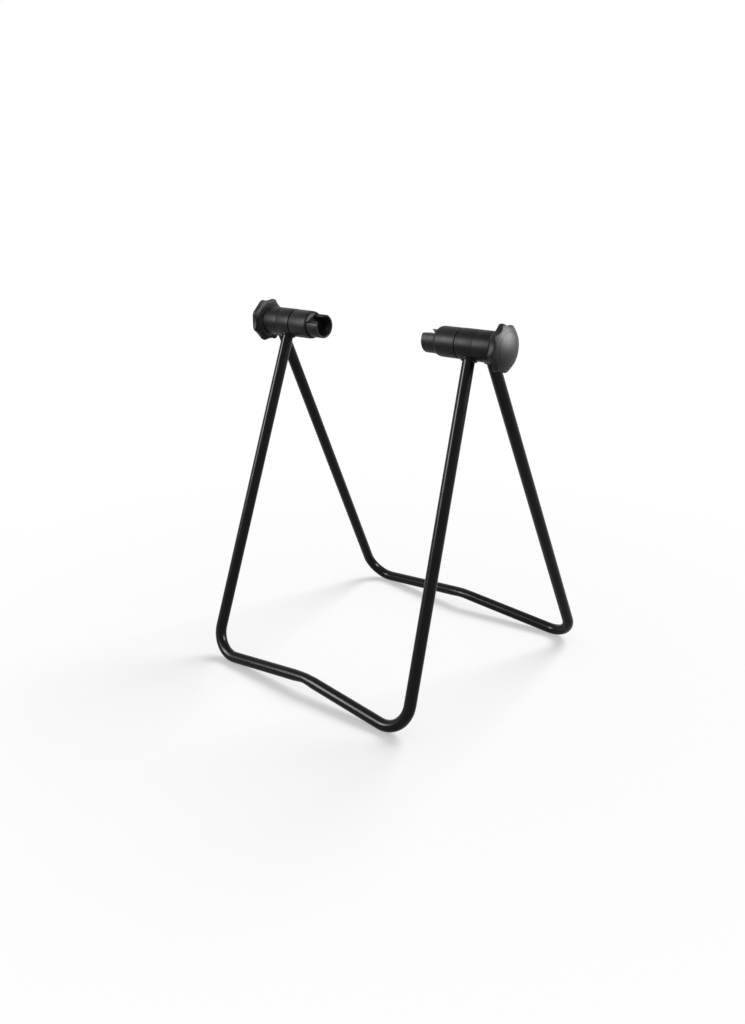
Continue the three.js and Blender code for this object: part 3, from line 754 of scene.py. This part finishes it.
    def lay_bead(self) -> bpy.types.Object:
        """Lays the weld round the right leg top: a rippled ring under the sleeve.

        Returns:
            The bead in the frame's own plane.
        """
        columns, around = 3 * self.bead_ripples, 12
        major = TUBE_RADIUS + self.bead_rise * self.bead_radius
        bead = fresh("weld_bead", bpy.ops.mesh.primitive_torus_add,
                     major_radius=major * MM, minor_radius=self.bead_radius * MM,
                     major_segments=columns, minor_segments=around)
        splay = math.radians(self.splay)
        for column in range(columns):
            angle = math.tau * column / columns
            across, along = major * math.sin(angle), major * math.cos(angle)
            height = -math.sqrt(SLEEVE_RADIUS**2 - across**2)
            drop = (height - along * math.sin(splay)) / math.cos(splay)
            pick_numbers(bead, range(column * around, (column + 1) * around))
            bpy.ops.transform.translate(value=point(0, 0, drop))
        for column in range(0, columns, 3):
            pick_numbers(bead, range(column * around, (column + 1) * around))
            bpy.ops.transform.shrink_fatten(value=-self.ripple_depth * MM)
        close(bead)
        settle(bead, Matrix.Translation(point(self.half_width)) @ Matrix.Rotation(-splay, 4, "Y"))
        modify(bead, "SUBSURF", levels=1, render_levels=1)
        return bead

    def build(self) -> None:
        """Makes the frame's pieces and hangs them on its body."""
        tube = self.bend_tube()
        parts = [(tube, f"{self.name}_frame_tube", POWDER_COAT)]
        work = (("hub_sleeve", self.turn_sleeve, SLEEVE_COAT),
                ("weld_bead", self.lay_bead, POWDER_COAT))
        for side in Side:
            for part, model, look in work:
                piece = self.patterns.take(f"{self.name}_{part}", model)
                if side is Side.LEFT:
                    piece = mirrored(piece)
                piece.name = piece.data.name = f"{self.name}_{side.word}_{part}"
                parts.append((piece, f"{self.name}_{side.word}_sleeve", look))
        for piece, node, look in parts:
            settle(piece, self.place)
            smooth(piece)
            self.palette.dress(piece, look)
            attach(piece, self.body)
            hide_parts(node)
            LOG.info("%s stands for %s", piece.name, node)


# --- Hub sides ---


@dataclass
class Knob:
    """The scalloped clamping knob: a flared neck, eight lobes and a domed outer face."""

    lobes: int = 8
    corner: float = 23.6
    hollow: float = 21.0
    lobe_angle: float = 8.0
    base: float = 151.4
    neck_radius: float = 15.6
    neck: float = 3.9
    top: float = 167.79
    dome_radius: float = 38.5
    rim_round: float = 0.9
    edge_round: float = 1.3
    washer_seat: float = 152.9
    washer_recess: float = 14.5
    bore: float = 4.3
    cap_seat: float = 161.1
    cap_opening: float = 16.55
    cap_radius: float = 16.5
    cap_wall: float = 1.8
    bolt_seat: float = 156.8
    pocket: float = 13.6
    columns: int = 24

    def dome(self, radius: float) -> float:
        """Station of the dome's surface at a radius."""
        return self.top - self.dome_radius + math.sqrt(self.dome_radius**2 - radius**2)

    def reach(self, angle: float) -> float:
        """Radius of the knob's outline.

        Args:
            angle: angle from the middle of a hollow, in degrees.

        Returns:
            The radius in millimetres.
        """
        half = 180 / self.lobes - self.lobe_angle / 2
        if abs(angle) >= half:
            return self.corner
        wide = self.corner * math.sin(math.radians(half))
        rise = self.corner * math.cos(math.radians(half)) - self.hollow
        slope = math.tan(math.radians(abs(angle)))
        if slope == 0:
            return self.hollow
        root = math.sqrt(wide**2 - 4 * rise * self.hollow * slope**2)
        share = (wide - root) / (2 * rise * slope)
        return math.hypot(wide * share, self.hollow + rise * share**2)

    def section(self, reach: float) -> Profile:
        """The knob's half section where its outline has a given radius.

        Args:
            reach: radius of the outline there.

        Returns:
            The closed section, with the same number of points for any reach.
        """
        flare_end = self.base + self.neck
        rim = reach - self.rim_round
        shoulder = (flare_end, min(self.hollow, rim - 0.3))
        flare = rounded((flare_end - self.rim_round, self.neck_radius + self.rim_round),
                        (self.base, self.neck_radius), shoulder, 1.0, 6)
        neck = Vector((self.base, self.neck_radius))
        edge = (self.dome(reach), reach)
        on_dome = (self.dome(reach - self.edge_round), reach - self.edge_round)
        dome = []
        for step in range(1, 9):
            radius = on_dome[1] + (self.cap_opening - on_dome[1]) * step / 8
            dome.append((self.dome(radius), radius))
        section = [(self.washer_seat, self.bore), (self.washer_seat, self.washer_recess),
                   (self.base, self.washer_recess)]
        section += bow(neck, Vector(flare[3]), Vector(shoulder), 6)
        section += rounded((flare_end, reach), (flare_end, rim), (flare_end + 2, reach),
                           self.rim_round, 4)
        section += rounded(edge, (edge[0] - 2, reach), on_dome, self.edge_round, 5)
        section += dome
        section += [(self.cap_seat, self.cap_opening), (self.cap_seat, self.bore)]
        return [*section, section[0]]

    def carve_body(self) -> bpy.types.Object:
        """Turns the knob at its full size and draws its hollows in, column by column.

        Returns:
            The knob body on the hub axis.
        """
        steps = self.lobes * self.columns
        full = self.section(self.corner)
        body = turned("knob_shell", full, steps)
        reopen(body)
        pitch = 360 / self.lobes
        groups: dict[tuple[int, int], list[int]] = {}
        mesh = bmesh.from_edit_mesh(body.data)
        for vertex in mesh.verts:
            x, y, z = vertex.co / MM
            radius = math.hypot(y, z)
            angle = math.degrees(math.atan2(z, y)) % pitch
            column = round(min(angle, pitch - angle) * steps / 360)
            misses = [math.hypot(station - x, reach - radius) for station, reach in full]
            ring = misses.index(min(misses))
            groups.setdefault((column, ring), []).append(vertex.index)
        sections = {column: self.section(self.reach(column * 360 / steps))
                    for column in {key[0] for key in groups}}
        for (column, ring), members in groups.items():
            (x0, r0), (x1, r1) = full[ring], sections[column][ring]
            if math.hypot(x1 - x0, r1 - r0) > 0.001:
                pick_numbers(body, members)
                scale = r1 / r0
                bpy.ops.transform.resize(value=(1, scale, scale), center_override=(0, 0, 0))
                bpy.ops.transform.translate(value=point(x1 - x0))
        close(body)
        depth = self.cap_seat + 1 - self.bolt_seat
        pocket = hexagon("pocket", self.pocket, depth, self.bolt_seat + depth / 2)
        combine(body, pocket, "DIFFERENCE")
        return body

    def turn_cap(self) -> bpy.types.Object:
        """The domed cap that closes the knob over its bolt.

        Returns:
            The cap on the hub axis.
        """
        seat, inner = self.cap_seat + HAIRLINE, self.cap_radius - self.cap_wall
        steps = 12
        radii = [self.cap_radius * step / steps for step in range(steps)]
        rim = rounded((self.dome(self.cap_radius), self.cap_radius),
                      (self.dome(radii[-1]), radii[-1]), (seat, self.cap_radius), 0.08, 2)
        inside = [inner * step / 6 for step in range(6, -1, -1)]
        section = [(self.dome(radius), radius) for radius in radii] + rim
        section += [(seat, self.cap_radius), (seat, inner)]
        section += [(self.dome(radius) - self.cap_wall, radius) for radius in inside]
        return turned("knob_cover", section, 2 * ROUND_STEPS)


@dataclass
class HubSide:
    """Everything on the hub axis at one end, from the axle cup to the knob.

    Attributes:
        side: which end.
        turn: how far its spindle is turned about the hub axis, in degrees.
        knob_turn: how far its knob is turned.
        palette: the finishes.
        patterns: the pieces that repeat.
    """

    side: Side
    turn: float
    knob_turn: float
    palette: Palette
    patterns: Patterns
    mouth: float = 70.5
    cup_radius: float = 12.8
    cup_bore: float = 9.5
    lead_in: float = 4.0
    lead_radius: float = 11.0
    cup_floor: float = 86.0
    cup_back: float = 90.0
    skirt_end: float = 95.0
    skirt_bore: float = 6.8
    boss_radius: float = 4.4
    boss_gap: float = 0.3  # how far the boss stops short of the skirt
    screw_hold: float = 2.0  # how far the screw's hole reaches past the skirt's floor
    slot_length: float = 17.0
    slot_height: float = 8.4
    key_width: float = 3.4
    key_height: float = 0.8
    key_length: float = 5.5
    key_root: float = 1.25  # how far it reaches into the cup's wall
    key_gap: float = 0.3
    cup_travel: float = 13.0
    barrel_face: float = 86.0
    barrel_nose: float = 5.0
    lip_width: float = 0.45
    brow_share: float = 0.15  # where the nose's curve turns over, as a share of its length
    brow_drop: float = 0.1
    barrel_bore: float = 13.2
    barrel_bore_end: float = 108.3
    barrel_radius: float = 15.0
    shoulder: float = 111.0
    journal_radius: float = 10.6
    journal_end: float = 150.5
    web: float = 118.0
    web_end: float = 121.0
    insert_seat: float = 138.4
    insert_bore: float = 7.3
    head_bore: float = 5.4
    screw_bore: float = 2.6
    screw_radius: float = 2.3
    screw_head: float = 4.2
    screw_tip: float = 88.3
    screw_chamfer: float = 0.4
    screw_seat: float = 121.3
    screw_end: float = 124.3
    socket_across: float = 4.0
    socket_depth: float = 1.8
    washer_radius: float = 14.2
    brake_start: float = 111.3
    brake_end: float = 112.0
    thrust_start: float = 151.1
    thrust_end: float = 152.6
    thrust_bore: float = 4.6
    spring_start: float = 90.3
    spring_end: float = 117.7
    spring_radius: float = 5.6
    spring_wire: float = 1.2
    spring_turns: int = 7
    spring_end_pitch: float = 1.75

    def seat(self, turn: float) -> Matrix:
        """Where a piece stands on the axis that is turned about it by some degrees."""
        half_turn = math.pi if self.side is Side.LEFT else 0.0
        place = Matrix.Translation(HUB) @ Matrix.Rotation(half_turn, 4, "Z")
        return place @ Matrix.Rotation(math.radians(turn), 4, "X")

    def key_block(self, start: float, end: float, clearance: float) -> bpy.types.Object:
        """The key under the cup, or with a clearance the keyway in the barrel."""
        half = self.key_width / 2 + clearance
        low = self.cup_radius + self.key_height + clearance
        return block("key", (start, -half, -low), (end, half, -self.cup_radius + self.key_root))

    def mould_spindle(self) -> bpy.types.Object:
        """The spindle: a barrel with a rounded front edge, and a journal through both sleeves.

        Returns:
            The spindle on the hub axis.
        """
        face, bore = self.barrel_face, self.barrel_bore
        lip = Vector((face, bore + self.lip_width))
        brow = Vector((face + self.brow_share * self.barrel_nose, self.barrel_radius - self.brow_drop))
        crown = Vector((face + self.barrel_nose, self.barrel_radius))
        profile: Profile = [(face, bore), *bow(lip, brow, crown, 8)]
        profile += rounded((self.shoulder, self.barrel_radius), (face, self.barrel_radius),
                           (self.shoulder, self.journal_radius), 0.5)
        profile += [
            (self.shoulder, self.journal_radius),
            (self.journal_end, self.journal_radius),
            (self.journal_end, self.insert_bore),
            (self.insert_seat, self.insert_bore),
            (self.insert_seat, self.head_bore),
            (self.web_end, self.head_bore),
            (self.web_end, self.screw_bore),
            (self.web, self.screw_bore),
            (self.web, self.skirt_bore),
            (self.barrel_bore_end, self.skirt_bore),
            (self.barrel_bore_end, bore),
            (face, bore),
        ]
        spindle = turned("barrel_spindle", profile)
        keyway = self.key_block(face - self.key_gap, self.barrel_bore_end, self.key_gap)
        combine(spindle, keyway, "DIFFERENCE")
        return spindle

    def mould_cup(self) -> bpy.types.Object:
        """The axle cup: a socket with an open-topped slot, a skirt behind it and a key.

        Returns:
            The cup on the hub axis.
        """
        radius, bore = self.cup_radius, self.cup_bore
        profile = soft_section([
            (self.cup_floor, 0.0, 0),
            (self.cup_floor, bore, 1.2),
            (self.mouth + self.lead_in, bore, 1.2),
            (self.mouth, self.lead_radius, 0.4),
            (self.mouth, radius, 0.55),
            (self.skirt_end, radius, 0),
            (self.skirt_end, self.skirt_bore, 0),
            (self.cup_back, self.skirt_bore, 0),
            (self.cup_back, self.boss_radius, 0),
            (self.skirt_end - self.boss_gap, self.boss_radius, 0),
            (self.skirt_end - self.boss_gap, self.screw_bore, 0),
            (self.cup_back - self.screw_hold, self.screw_bore, 0),
            (self.cup_back - self.screw_hold, 0.0, 0),
        ], closed=False)
        cup = turned("sprung_cup", profile)
        wide = 2 * radius
        slot = block("slot", (self.mouth - 1, -wide, self.slot_height),
                     (self.mouth + self.slot_length, wide, wide))
        combine(cup, slot, "DIFFERENCE")
        combine(cup, self.key_block(self.skirt_end - self.key_length, self.skirt_end, 0), "UNION")
        soften(cup, 0.35)
        return cup

    def turn_screw(self) -> bpy.types.Object:
        """The shoulder screw that holds the cup in, with its hexagonal socket.

        Returns:
            The screw on the hub axis.
        """
        profile = soft_section([
            (self.screw_tip, 0.0, 0),
            (self.screw_tip, self.screw_radius - self.screw_chamfer, 0),
            (self.screw_tip + self.screw_chamfer, self.screw_radius, 0),
            (self.screw_seat, self.screw_radius, 0),
            (self.screw_seat, self.screw_head, 0.2),
            (self.screw_end, self.screw_head, 0.5),
            (self.screw_end, 0.0, 0),
        ], closed=False)
        screw = turned("shoulder_screw", profile, 48)
        socket = hexagon("socket", self.socket_across, 2 * self.socket_depth, self.screw_end)
        combine(screw, socket, "DIFFERENCE")
        return screw

    def wind_spring(self) -> bpy.types.Object:
        """The compression spring behind the cup, with a close turn at each end.

        Returns:
            The spring on the hub axis.
        """
        per_turn = 24
        turns = self.spring_turns + 2
        start = self.spring_start + self.spring_wire / 2
        length = self.spring_end - self.spring_start - self.spring_wire
        pitch = (length - 2 * self.spring_end_pitch) / self.spring_turns
        line = bpy.data.curves.new("cup_coil", "CURVE")
        line.dimensions = "3D"
        line.bevel_depth = self.spring_wire / 2 * MM
        line.bevel_resolution = 2
        line.use_fill_caps = True
        wire = line.splines.new("POLY")
        wire.points.add(turns * per_turn)
        for step, spot in enumerate(wire.points):
            turn = step / per_turn
            closed = min(turn, 1) + max(0, turn - turns + 1)
            along = start + closed * self.spring_end_pitch + (turn - closed) * pitch
            angle = math.tau * turn
            place = point(along, self.spring_radius * math.cos(angle),
                          self.spring_radius * math.sin(angle))
            spot.co = (*place, 1)
        coil = bpy.data.objects.new("cup_coil", line)
        bpy.context.scene.collection.objects.link(coil)
        alone(coil)
        bpy.ops.object.convert(target="MESH")
        coil = bpy.context.object
        reopen(coil)
        return close(coil)

    def turn_washer(self, name: str, start: float, end: float, bore: float) -> bpy.types.Object:
        """A flat washer between two stations, with its edges eased."""
        corners = [(start, bore, 0.1), (start, self.washer_radius, 0.15),
                   (end, self.washer_radius, 0.15), (end, bore, 0.1)]
        return turned(name, soft_section(corners))

    def turn_brake(self) -> bpy.types.Object:
        """The brake washer between the barrel and the near sleeve."""
        return self.turn_washer("brake_disc", self.brake_start, self.brake_end, SLEEVE_BORE)

    def turn_thrust(self) -> bpy.types.Object:
        """The thrust washer between the far sleeve and the knob."""
        return self.turn_washer("thrust_disc", self.thrust_start, self.thrust_end, self.thrust_bore)

    def finish(self, model: Callable[[], bpy.types.Object], part: str, body: str, node: str,
               look: Finish, place: Matrix) -> bpy.types.Object:
        """Takes a piece, moves it to its end of the axis and hangs it on its body.

        Args:
            model: makes the piece on the hub axis, at the right end.
            part: its name without the side.
            body: the CAD body's name without the side.
            node: the CAD node's name without the side.
            look: its finish.
            place: where it stands.

        Returns:
            The piece.
        """
        word = self.side.word
        piece = self.patterns.take(part, model)
        piece.name = f"{word}_{part}"
        piece.data.name = piece.name
        settle(piece, place)
        smooth(piece)
        self.palette.dress(piece, look)
        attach(piece, f"{word}_{body}")
        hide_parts(f"{word}_{node}")
        LOG.info("%s stands for %s_%s", piece.name, word, node)
        return piece

    def build(self) -> None:
        """Makes the pieces of this end."""
        fixed, turned_seat = self.seat(0.0), self.seat(self.turn)
        knob_seat = self.seat(self.knob_turn)
        self.finish(self.mould_cup, "sprung_cup", "cup", "axle_cup", GLASS_NYLON, turned_seat)
        self.finish(self.mould_spindle, "barrel_spindle", "spindle", "spindle", GLASS_NYLON,
                    turned_seat)
        self.finish(self.turn_screw, "shoulder_screw", "cup", "cup_screw", ZINC_PLATE,
                    turned_seat)
        coil = self.finish(self.wind_spring, "cup_coil", "cup", "cup_spring", SPRING_WIRE,
                           turned_seat)
        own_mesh(coil)
        self.finish(self.turn_brake, "brake_disc", "spindle", "brake_washer", ACETAL, fixed)
        self.finish(self.turn_thrust, "thrust_disc", "washer", "thrust_washer", ZINC_PLATE, fixed)
        knob = Knob()
        self.finish(knob.carve_body, "knob_shell", "knob", "knob_body", KNOB_ABS, knob_seat)
        self.finish(knob.turn_cap, "knob_cover", "knob", "knob_cap", KNOB_ABS, knob_seat)
        for node, look in (("knob_bolt", ZINC_PLATE), ("threaded_insert", TURNED_BRASS)):
            name = f"{self.side.word}_{node}"
            self.palette.dress(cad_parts[name], look)
            LOG.info("%s keeps its CAD form", name)


# --- Studio ---


@dataclass(frozen=True)
class Card:
    """A square soft lamp that only shows in gloss, as a white reflector card does.

    Attributes:
        name: name of the lamp.
        place: where it stands, in metres.
        width: length of its long side, in metres.
        height: length of its other side.
        power: power in watts.
        aim: the point that it faces.
    """

    name: str
    place: tuple[float, float, float]
    width: float
    height: float
    power: float
    aim: tuple[float, float, float] = (0.0, -0.03, 0.2)

    def build(self) -> None:
        """Hangs the lamp and points it at the object."""
        lamp = bpy.data.lights.new(self.name, "AREA")
        lamp.shape = "RECTANGLE"
        lamp.size = self.width
        lamp.size_y = self.height
        lamp.energy = self.power
        holder = bpy.data.objects.new(self.name, lamp)
        holder.location = self.place
        line = Vector(self.aim) - Vector(self.place)
        holder.rotation_euler = line.to_track_quat("-Z", "Y").to_euler()
        holder.visible_diffuse = False
        holder.visible_camera = False
        bpy.context.scene.collection.objects.link(holder)


@dataclass
class Studio:
    """A white sweep, soft boxes and the camera at the photograph's angle.

    Attributes:
        glow: share of plain white that the sweep shows under the stand.
        glow_start: distance from the stand's middle where the sweep starts to turn all white.
        glow_end: distance from which it is all white, in metres.
        ambient: strength of the light from all round.
        key_from: direction that the key light comes from.
        key_power: its power in watts per square metre.
        key_width: its width as seen from the stand, in degrees.
    """

    camera_place: tuple[float, float, float] = (0.637486, -0.781394, 0.513200)
    camera_aim: tuple[float, float, float] = (-0.002404, -0.03235, 0.174392)
    lens: float = 33.215
    floor_size: float = 60.0
    glow: float = 0.42
    glow_start: float = 0.3
    glow_end: float = 0.8
    ambient: float = 0.44
    key_from: tuple[float, float, float] = (0.08, 0.85, 1.0)
    key_power: float = 2.35
    key_width: float = 32.0
    cards: tuple[Card, ...] = (
        Card("left_strip", (-1.0, -1.38, 0.95), 0.42, 0.95, 56.0),
        Card("dome_card", (0.62, 0.31, 0.58), 0.36, 0.28, 21.0, (0.167, -0.032, 0.371)),
    )

    def shown(self, tree: Tree) -> bpy.types.Node:
        """A node that is 1 where the camera, a reflection or a clear piece shows the surface."""
        path = add_node(tree, "LightPath")
        direct = add_node(tree, "Math", {"operation": "MAXIMUM"},
                          links={0: (path, "Is Camera Ray"), 1: (path, "Is Glossy Ray")})
        return add_node(tree, "Math", {"operation": "MAXIMUM"},
                        links={0: (direct, "Value"), 1: (path, "Is Transmission Ray")})

    def floor_material(self) -> bpy.types.Material:
        """White paper sweep: matt, with a shadow beside the stand and all white further out.

        Returns:
            The material.
        """
        material, tree, output = blank("white_paper_sweep")
        place = add_node(tree, "TexCoord")
        reach = add_node(tree, "VectorMath", {"operation": "LENGTH"},
                         links={"Vector": (place, "Object")})
        far = add_node(tree, "MapRange", {"interpolation_type": "SMOOTHSTEP"},
                       values={"From Min": self.glow_start, "From Max": self.glow_end,
                               "To Min": self.glow},
                       links={"Value": (reach, "Value")})
        glow = add_node(tree, "Emission", values={"Color": (1.0, 1.0, 1.0, 1.0)},
                        links={"Strength": (self.shown(tree), "Value")})
        paper = add_node(tree, "BsdfDiffuse", values={"Color": linear("#fafafa")})
        both = add_node(tree, "MixShader", links={0: (far, "Result"), 1: (paper, "BSDF"),
                                                  2: (glow, "Emission")})
        tree.links.new(both.outputs["Shader"], output.inputs["Surface"])
        return material

    def lay_floor(self) -> None:
        """Lays the floor, which isn't part of the object."""
        bpy.ops.object.select_all(action="DESELECT")
        bpy.ops.mesh.primitive_plane_add(size=self.floor_size)
        floor = bpy.context.object
        floor.name = "studio_floor"
        floor.data.materials.append(self.floor_material())

    def light_world(self) -> None:
        """Soft light from all round, with a white backdrop for the camera."""
        world = bpy.data.worlds.new("studio")
        bpy.context.scene.world = world
        world.use_nodes = True
        tree = world.node_tree
        tree.nodes.clear()
        output = add_node(tree, "OutputWorld")
        level = add_node(tree, "MapRange", values={"To Min": self.ambient, "To Max": 1.0},
                         links={"Value": (self.shown(tree), "Value")})
        sky = add_node(tree, "Background", values={"Color": (1.0, 1.0, 1.0, 1.0)},
                       links={"Strength": (level, "Result")})
        tree.links.new(sky.outputs["Background"], output.inputs["Surface"])

    def hang_key(self) -> None:
        """A far, round soft light from behind and above, which gives the floor its shadow."""
        lamp = bpy.data.lights.new("key_light", "SUN")
        lamp.energy = self.key_power
        lamp.angle = math.radians(self.key_width)
        holder = bpy.data.objects.new("key_light", lamp)
        holder.visible_glossy = False
        holder.rotation_euler = Vector(self.key_from).to_track_quat("Z", "Y").to_euler()
        bpy.context.scene.collection.objects.link(holder)

    def set_camera(self) -> None:
        """Stands the camera where the photograph was taken from."""
        data = bpy.data.cameras.new("camera")
        data.lens = self.lens
        data.clip_start, data.clip_end = 0.05, 100.0
        camera = bpy.data.objects.new("camera", data)
        camera.location = self.camera_place
        line = Vector(self.camera_aim) - Vector(self.camera_place)
        camera.rotation_euler = line.to_track_quat("-Z", "Y").to_euler()
        bpy.context.scene.collection.objects.link(camera)
        bpy.context.scene.camera = camera

    def build(self) -> None:
        """Sets the studio up."""
        self.set_camera()
        self.lay_floor()
        self.light_world()
        self.hang_key()
        for card in self.cards:
            card.build()
        bpy.context.scene.view_settings.view_transform = "Standard"
        LOG.info("studio with a key light and %d cards", len(self.cards))


# --- The stand ---


def main() -> None:
    """Builds the studio and the sub-assemblies in order."""
    palette, patterns = Palette(), Patterns()
    Studio().build()
    BentFrame("near", palette, patterns, 112.3, -17.87, 2.72, 5.99).build()
    BentFrame("far", palette, patterns, 131.7, 26.56, 2.07, 6.39).build()
    HubSide(Side.LEFT, -25.0, 0.0, palette, patterns).build()
    HubSide(Side.RIGHT, 6.0, -11.0, palette, patterns).build()
    patterns.clear()


if __name__ == "__main__":
    logging.basicConfig(level=logging.INFO, format="%(message)s")
    main()
